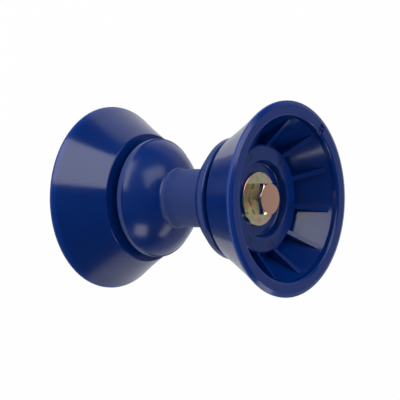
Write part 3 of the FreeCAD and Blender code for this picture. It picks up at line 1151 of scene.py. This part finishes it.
@dataclass
class Hardware:
    """The half-inch bolt, its washers and its lock nut.

    The bolt's body is turned round a fine core. The ridge of its thread is wound apart: its
    foot sinks into the body, and its turns stop short of one another there.
    """

    bolt_radius: float = 6.35
    core_radius: float = 0.4
    body_top: float = 0.3
    body_taper: tuple[float, float] = (0.1, 0.4)
    body_end_round: float = 0.15
    thread_pitch: float = 1.954
    thread_depth: float = 1.1
    thread_length: float = 32.0
    thread_runout: float = 1.0
    runout_round: float = 0.5
    crest_share: float = 0.12
    root_gap: float = 0.1
    ridge_sink: float = 0.2
    ridge_gap: float = 0.02
    ridge_steps: int = 48
    ridge_runout: float = 1.2
    ridge_margin: float = 0.1
    point_chamfer: float = 1.2
    head_flats: float = 19.6
    head_height: float = 8.5
    washer_face_height: float = 0.4
    washer_face_radius: float = 9.47
    washer_face_core: float = 0.5
    washer_face_sink: float = 0.2
    washer_face_round: float = 0.1
    chamfer_start: float = 0.985
    blank_share: float = 1.1
    chamfer_angle: float = 30.0
    edge_round: float = 0.18
    sharp_angle: float = 24.0
    washer_radius: float = 17.3
    washer_hole_radius: float = 7.15
    washer_thickness: float = 1.6
    washer_foot_round: float = 0.12
    washer_rim_round: float = 0.45
    washer_hole_round: float = 0.3
    nut_hex_height: float = 10.9
    nut_height: float = 15.1
    nut_bore_radius: float = 6.4
    collar_radius: float = 9.07
    collar_sink: float = 1.5
    collar_round: float = 1.4
    collar_mouth_radius: float = 7.1
    collar_mouth_round: float = 0.5
    collar_seat_round: float = 0.2
    insert_radius: float = 8.07
    insert_round: float = 0.3

    def hexagon(
        self, name: str, low: float, high: float, chamfer_low: bool
    ) -> bpy.types.Object:
        """Model a hexagon whose upper face has its corners turned off.

        Args:
            name: what the piece is called.
            low: its lower face's height in millimetres.
            high: its upper face's height.
            chamfer_low: whether the lower face's corners are turned off too.

        Returns:
            The hexagon, its corners on the Y axis.
        """
        corner = self.head_flats / math.sqrt(3)
        # The blank reaches past the faces that are turned, so that no two faces coincide.
        foot, top = low - (SPARE if chamfer_low else 0), high + SPARE
        deselect_all()
        bpy.ops.mesh.primitive_cylinder_add(
            vertices=6, radius=corner * MM, depth=(top - foot) * MM,
            location=(0, 0, (foot + top) / 2 * MM),
        )
        piece = bpy.context.object
        piece.name = piece.data.name = name
        bpy.ops.object.transform_apply(location=True, rotation=True, scale=True)
        flat = self.head_flats / 2 * self.chamfer_start
        past = corner * self.blank_share
        fall = (past - flat) * math.tan(math.radians(self.chamfer_angle))
        if chamfer_low:
            corners = [Corner(0.0, low), Corner(flat, low), Corner(past, low + fall)]
        else:
            corners = [Corner(0.0, low - SPARE), Corner(past, low - SPARE)]
        corners += [Corner(past, high - fall), Corner(flat, high), Corner(0.0, high)]
        turned = TurnedForm("turned_corners", corners, Steps.MEDIUM).build()
        boolean(piece, turned, "INTERSECT")
        clean_up(piece)
        return piece

    def thread(self, low: float, high: float) -> bpy.types.Object:
        """Wind the ridge of the thread past two heights.

        Args:
            low: the height in millimetres at which the thread begins.
            high: the height at which it ends.

        Returns:
            The ridge, longer than the thread, for its ends to be cut.
        """
        root = self.bolt_radius - self.thread_depth
        pitch = self.thread_pitch
        crest = self.crest_share / 2
        flank = [
            (root - self.ridge_sink, self.ridge_gap),
            (root, self.root_gap),
            (self.bolt_radius, pitch * (0.5 - crest)),
        ]
        other_flank = [(radius, pitch - height) for radius, height in reversed(flank)]
        start = low - 2 * pitch
        ridge = draw_line(
            "thread_ridge", [(radius, start + height) for radius, height in flank + other_flank]
        )
        bpy.ops.mesh.select_all(action="SELECT")
        bpy.ops.mesh.edge_face_add()
        bpy.ops.object.mode_set(mode="OBJECT")
        modifier = ridge.modifiers.new("wind", "SCREW")
        modifier.axis = "Z"
        modifier.angle = FULL_TURN
        modifier.screw_offset = pitch * MM
        modifier.iterations = math.ceil((high - low) / pitch) + 3
        modifier.steps = modifier.render_steps = self.ridge_steps
        modifier.use_merge_vertices = False
        modifier.use_normal_calculate = True
        activate(ridge)
        bpy.ops.object.modifier_apply(modifier=modifier.name)
        return ridge

    def bolt(self) -> bpy.types.Object:
        """Model the bolt with the underside of its head at height 0, and seat it.

        Returns:
            The bolt, its head on the washer.
        """
        low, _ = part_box("hex_bolt")
        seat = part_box("head_washer")[0].z + self.washer_thickness * MM
        point = (low.z - seat) / MM
        thread_end = point + self.thread_length
        root = self.bolt_radius - self.thread_depth
        head = self.hexagon("bolt_head", self.washer_face_height, self.head_height, False)
        activate(head)
        bpy.ops.object.mode_set(mode="EDIT")
        bpy.ops.mesh.select_mode(type="EDGE")
        bpy.ops.mesh.select_all(action="DESELECT")
        bpy.ops.mesh.edges_select_sharp(sharpness=math.radians(self.sharp_angle))
        bpy.ops.mesh.bevel(
            offset=self.edge_round * MM, segments=2, affect="EDGES", clamp_overlap=True
        )
        bpy.ops.object.mode_set(mode="OBJECT")
        clean_up(head)
        face_top = self.washer_face_height + self.washer_face_sink
        face = TurnedForm("washer_face", [
            Corner(self.washer_face_core, 0.0),
            Corner(self.washer_face_radius, 0.0, self.washer_face_round),
            Corner(self.washer_face_radius, face_top),
            Corner(self.washer_face_core, face_top),
        ], Steps.SMALL).build()
        taper_in, taper_up = self.body_taper
        body = TurnedForm("shank", [
            Corner(self.core_radius, point),
            Corner(root - taper_in, point, self.body_end_round),
            Corner(root, point + taper_up),
            Corner(root, thread_end - self.thread_runout, self.runout_round),
            Corner(self.bolt_radius, thread_end, self.runout_round),
            Corner(self.bolt_radius, self.body_top),
            Corner(self.core_radius, self.body_top),
        ], Steps.MEDIUM).build()
        ridge = self.thread(point, thread_end)
        outside = self.bolt_radius + self.ridge_margin
        envelope = TurnedForm("thread_envelope", [
            Corner(self.core_radius, point),
            Corner(self.bolt_radius - self.point_chamfer, point),
            Corner(outside, point + self.point_chamfer + self.ridge_margin),
            Corner(outside, thread_end - self.ridge_runout),
            Corner(root, thread_end),
            Corner(self.core_radius, thread_end),
        ], Steps.MEDIUM).build()
        clean_up(ridge)
        boolean(ridge, envelope, "INTERSECT")
        clean_up(ridge)
        bolt = join([head, face, body, ridge], "threaded_hex_bolt")
        smooth(bolt, angle=28)
        place_piece(bolt, seat)
        return bolt

    def washer(self, name: str, node: str) -> bpy.types.Object:
        """Stamp one washer: rounded on its upper side, sharp below.

        Args:
            name: what the washer is called.
            node: the CAD node that gives its place.

        Returns:
            The washer, lying on its bell.
        """
        low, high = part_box(node)
        outer, hole, thick = self.washer_radius, self.washer_hole_radius, self.washer_thickness
        washer = TurnedForm(name, [
            Corner(hole, 0.0, self.washer_foot_round),
            Corner(outer, 0.0, self.washer_foot_round),
            Corner(outer, thick, self.washer_rim_round),
            Corner(hole, thick, self.washer_hole_round),
        ], Steps.MEDIUM, rounding_segments=4).build()
        smooth(washer, angle=28)
        lies_on_upper_bell = low.z > cad_box[1].z / 2
        place_piece(washer, low.z if lies_on_upper_bell else high.z - thick * MM)
        return washer

    @property
    def nut_rise(self) -> float:
        """How far the thin washer lets the nut up beyond its place in the frame, in metres."""
        low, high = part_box("nut_washer")
        return high.z - low.z - self.washer_thickness * MM

    def lock_nut(self) -> bpy.types.Object:
        """Model the lock nut's steel body with its seat at height 0, and turn it over.

        Returns:
            The nut, under its washer.
        """
        _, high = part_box("lock_nut")
        hexagon = self.hexagon("nut_hexagon", 0.0, self.nut_hex_height, True)
        past = self.nut_hex_height + SPARE
        bore = TurnedForm("nut_bore", [
            Corner(0.0, -SPARE),
            Corner(self.nut_bore_radius, -SPARE),
            Corner(self.nut_bore_radius, past),
            Corner(0.0, past),
        ], Steps.SMALL).build()
        boolean(hexagon, bore, "DIFFERENCE")
        insert_top = self.nut_height - self.collar_round
        collar_foot = self.nut_hex_height - self.collar_sink
        collar = TurnedForm("nut_collar", [
            Corner(self.insert_radius, collar_foot),
            Corner(self.collar_radius, collar_foot),
            Corner(self.collar_radius, self.nut_height, self.collar_round),
            Corner(self.collar_mouth_radius, self.nut_height, self.collar_mouth_round),
            Corner(self.collar_mouth_radius, insert_top, self.collar_seat_round),
            Corner(self.insert_radius, insert_top),
        ], Steps.MEDIUM).build()
        nut = join([hexagon, collar], "flanged_lock_nut")
        smooth(nut, angle=24)
        place_piece(nut, high.z + self.nut_rise, upside_down=True)
        return nut

    def insert(self) -> bpy.types.Object:
        """Model the nylon ring that the nut's collar holds.

        Returns:
            The ring at its place in the nut.
        """
        low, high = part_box("nut_insert")
        thick = (high.z - low.z) / MM
        ring = TurnedForm("nylon_ring", [
            Corner(self.nut_bore_radius, 0.0, self.insert_round),
            Corner(self.insert_radius, 0.0),
            Corner(self.insert_radius, thick),
            Corner(self.nut_bore_radius, thick, self.insert_round),
        ], Steps.SMALL).build()
        smooth(ring)
        place_piece(ring, low.z + self.nut_rise)
        return ring

    def build(self) -> dict[str, bpy.types.Object]:
        """Model every piece of the hardware.

        Returns:
            The pieces by the CAD node that each stands for.
        """
        return {
            "hex_bolt": self.bolt(),
            "head_washer": self.washer("stamped_head_washer", "head_washer"),
            "nut_washer": self.washer("stamped_nut_washer", "nut_washer"),
            "lock_nut": self.lock_nut(),
            "nut_insert": self.insert(),
        }

    def dress(self, pieces: dict[str, bpy.types.Object]) -> None:
        """Give the hardware its plating and the ring its nylon.

        Args:
            pieces: the pieces by the CAD node that each stands for.
        """
        plate, nylon = YellowZincPlate().build(), NaturalNylon().build()
        for node, piece in pieces.items():
            if node == "nut_insert":
                hand_over(piece, nylon, "bolt", node)
            else:
                hand_over(piece, plate, "bolt", node)


@dataclass(frozen=True)
class PhotoCamera:
    """The photograph's camera, lying on its side so that the axis runs across the frame.

    It swings from square on towards the bolt's head and rises towards the picture's top.
    The roller's middle lies across and up from the picture's by so many millimetres. The
    distance and the clip limits are in metres.
    """

    distance: float = 1.0471
    swing: float = 39.13
    rise: float = 0.91
    roll: float = -0.08
    across: float = -1.67
    up: float = 1.20
    lens: float = 144.0
    sensor: float = 36.0
    clip: tuple[float, float] = (0.01, 50.0)

    def axes(self) -> tuple[Vector, Vector, Vector]:
        """Work out how the camera lies.

        Returns:
            Unit vectors to the picture's right, to its top and to the camera.
        """
        swing, rise, roll = (math.radians(v) for v in (self.swing, self.rise, self.roll))
        towards = Vector((
            -math.sin(rise), -math.cos(swing) * math.cos(rise), math.sin(swing) * math.cos(rise)
        ))
        level = Vector((0.0, math.sin(swing), math.cos(swing)))
        upright = towards.cross(level)
        right = math.cos(roll) * level + math.sin(roll) * upright
        top = math.cos(roll) * upright - math.sin(roll) * level
        return right, top, towards

    def direction(self, aside: float, above: float) -> Vector:
        """Turn the studio's angles into a direction.

        Args:
            aside: degrees to the picture's right of the camera, 180 behind the roller.
            above: degrees towards the picture's top.

        Returns:
            The direction as a unit vector.
        """
        right, top, towards = self.axes()
        aside, above = math.radians(aside), math.radians(above)
        level = math.sin(aside) * right + math.cos(aside) * towards
        return math.cos(above) * level + math.sin(above) * top

    def build(self, centre: Vector) -> None:
        """Add the camera and make it the scene's own.

        Args:
            centre: the middle of the roller, in metres.
        """
        right, top, towards = self.axes()
        place = centre + self.distance * towards - self.across * MM * right - self.up * MM * top
        deselect_all()
        bpy.ops.object.camera_add(location=place)
        camera = bpy.context.object
        camera.name = camera.data.name = "photo_camera"
        camera.rotation_mode = "QUATERNION"
        camera.rotation_quaternion = Matrix((right, top, towards)).transposed().to_quaternion()
        camera.data.sensor_width = self.sensor
        camera.data.lens = self.lens
        camera.data.clip_start, camera.data.clip_end = self.clip
        bpy.context.scene.camera = camera


@dataclass(frozen=True)
class Softbox:
    """One soft lamp, by the angles that it fills as seen from the roller.

    The angles are those of PhotoCamera.direction, and radiance is 1 for a lamp that shows
    as plain white. The distance is in metres.
    """

    name: str
    left: float
    right: float
    low: float
    high: float
    radiance: float
    distance: float = 0.8

    def build(self, camera: PhotoCamera, centre: Vector) -> None:
        """Hang the lamp so that it faces the roller.

        Args:
            camera: the camera that the lamp's angles count from.
            centre: the middle of the roller, in metres.
        """
        aside, above = (self.left + self.right) / 2, (self.low + self.high) / 2
        towards = camera.direction(aside, above)
        level = camera.direction(aside + 90, 0)
        upright = towards.cross(level)
        width = 2 * self.distance * math.cos(math.radians(above)) * math.tan(
            math.radians(self.right - self.left) / 2
        )
        height = 2 * self.distance * math.tan(math.radians(self.high - self.low) / 2)
        deselect_all()
        bpy.ops.object.light_add(type="AREA", location=centre + towards * self.distance)
        lamp = bpy.context.object
        lamp.name = lamp.data.name = self.name
        lamp.data.shape = "RECTANGLE"
        lamp.data.size, lamp.data.size_y = width, height
        lamp.data.energy = self.radiance * math.pi * width * height
        lamp.rotation_mode = "QUATERNION"
        lamp.rotation_quaternion = Matrix((level, upright, towards)).transposed().to_quaternion()


@dataclass
class Studio:
    """A pale floor, a white backdrop and soft lamps round the roller.

    The walls' light fades to the dark end between two cosines of the angle to the camera.
    The fill is what dull surfaces get, strongest from the side that fill_from names. The
    floor's size is in metres.
    """

    floor_size: float = 12.0
    floor_drop: float = 0.05
    floor_colour: str = "#E8E8E8"
    camera_share: float = 0.98
    mirror_share: float = 0.22
    wall_light: float = 0.4
    wall_cosine: float = -0.37
    dark_end_light: float = 0.03
    dark_end_cosine: float = 0.0
    fill_light: float = 0.64
    far_fill_light: float = 0.02
    fill_from: tuple[float, float] = (80.0, 20.0)
    lamps: tuple[Softbox, ...] = (
        Softbox("key_softbox", -50.0, -4.0, 14.0, 66.0, 2.9),
        Softbox("side_softbox", 27.0, 73.0, 14.0, 46.0, 2.0),
        Softbox("low_softbox", 6.0, 40.0, -66.0, -46.0, 3.0),
        Softbox("kicker", 80.0, 96.0, -52.0, -30.0, 2.2),
    )

    def floor(self) -> None:
        """Lay the floor that the roller stands on."""
        deselect_all()
        bpy.ops.mesh.primitive_plane_add(
            size=self.floor_size, location=(0, 0, -self.floor_drop * MM)
        )
        floor = bpy.context.object
        floor.name = floor.data.name = "studio_floor"
        material, tree = new_material("matt_white_paper")
        path = add_node(tree, "LightPath").outputs
        mirrored = add_node(
            tree, "Math", {"operation": "MAXIMUM"},
            {0: path["Is Glossy Ray"], 1: path["Is Transmission Ray"]},
        )
        mirrored = add_node(
            tree, "Math", {"operation": "MULTIPLY", 1: self.mirror_share},
            {0: mirrored.outputs[0]},
        )
        seen = add_node(
            tree, "Math", {"operation": "MULTIPLY", 1: self.camera_share},
            {0: path["Is Camera Ray"]},
        )
        share = add_node(
            tree, "Math", {"operation": "MAXIMUM"},
            {0: seen.outputs[0], 1: mirrored.outputs[0]},
        )
        paper = add_node(
            tree, "BsdfDiffuse", {"Color": linear(self.floor_colour)}
        )
        white = add_node(
            tree, "Emission", {"Color": linear("#FFFFFF"), "Strength": 1.0}
        )
        mix = add_node(
            tree, "MixShader", {},
            {0: share.outputs[0], 1: paper.outputs[0], 2: white.outputs[0]},
        )
        add_node(tree, "OutputMaterial", {}, {"Surface": mix.outputs[0]})
        floor.data.materials.append(material)

    def backdrop(self, camera: PhotoCamera) -> None:
        """Make the world white to the camera, with pale walls and a dark end behind it.

        Args:
            camera: the camera, which stands at the dark end.
        """
        world = bpy.data.worlds.new("studio_room")
        bpy.context.scene.world = world
        world.use_nodes = True
        tree = world.node_tree
        tree.nodes.clear()
        path = add_node(tree, "LightPath").outputs
        seen = add_node(
            tree, "Math", {"operation": "MAXIMUM"},
            {0: path["Is Camera Ray"], 1: path["Is Transmission Ray"]},
        )
        place = add_node(tree, "TexCoord").outputs["Generated"]
        facing = add_node(
            tree, "VectorMath",
            {"operation": "DOT_PRODUCT", 1: camera.direction(0.0, 0.0)}, {0: place},
        )
        light = add_node(
            tree, "MapRange",
            {"interpolation_type": "SMOOTHSTEP", "From Min": self.wall_cosine,
             "From Max": self.dark_end_cosine, "To Min": self.wall_light,
             "To Max": self.dark_end_light},
            {"Value": facing.outputs["Value"]},
        )
        aside = add_node(
            tree, "VectorMath",
            {"operation": "DOT_PRODUCT", 1: camera.direction(*self.fill_from)}, {0: place},
        )
        fill = add_node(
            tree, "MapRange",
            {"From Min": -1.0, "From Max": 1.0, "To Min": self.far_fill_light,
             "To Max": self.fill_light},
            {"Value": aside.outputs["Value"]},
        )
        level = add_node(
            tree, "Mix", {"data_type": "FLOAT"},
            {0: path["Is Glossy Ray"], 2: fill.outputs["Result"], 3: light.outputs["Result"]},
        )
        room = add_node(
            tree, "Background", {"Color": linear("#FFFFFF")},
            {"Strength": level.outputs[0]},
        )
        white = add_node(
            tree, "Background", {"Color": linear("#FFFFFF"), "Strength": 1.0}
        )
        mix = add_node(
            tree, "MixShader", {},
            {0: seen.outputs[0], 1: room.outputs[0], 2: white.outputs[0]},
        )
        add_node(tree, "OutputWorld", {}, {"Surface": mix.outputs[0]})

    def build(self, camera: PhotoCamera) -> None:
        """Set up the whole studio.

        Args:
            camera: the photograph's camera.
        """
        low, high = cad_box
        centre = (low + high) / 2
        camera.build(centre)
        self.floor()
        self.backdrop(camera)
        for lamp in self.lamps:
            lamp.build(camera, centre)
        log.info("studio: camera, floor, backdrop and %d lamps", len(self.lamps))


def main() -> None:
    """Build every sub-assembly, the studio and the camera."""
    logging.basicConfig(level=logging.INFO, format="%(message)s")
    bpy.context.scene.view_settings.view_transform = "Standard"
    bells = BellPair()
    bells.dress(*bells.build())
    spool = Spool()
    spool.dress(spool.build())
    hardware = Hardware()
    hardware.dress(hardware.build())
    Studio().build(PhotoCamera())


if __name__ == "__main__":
    main()
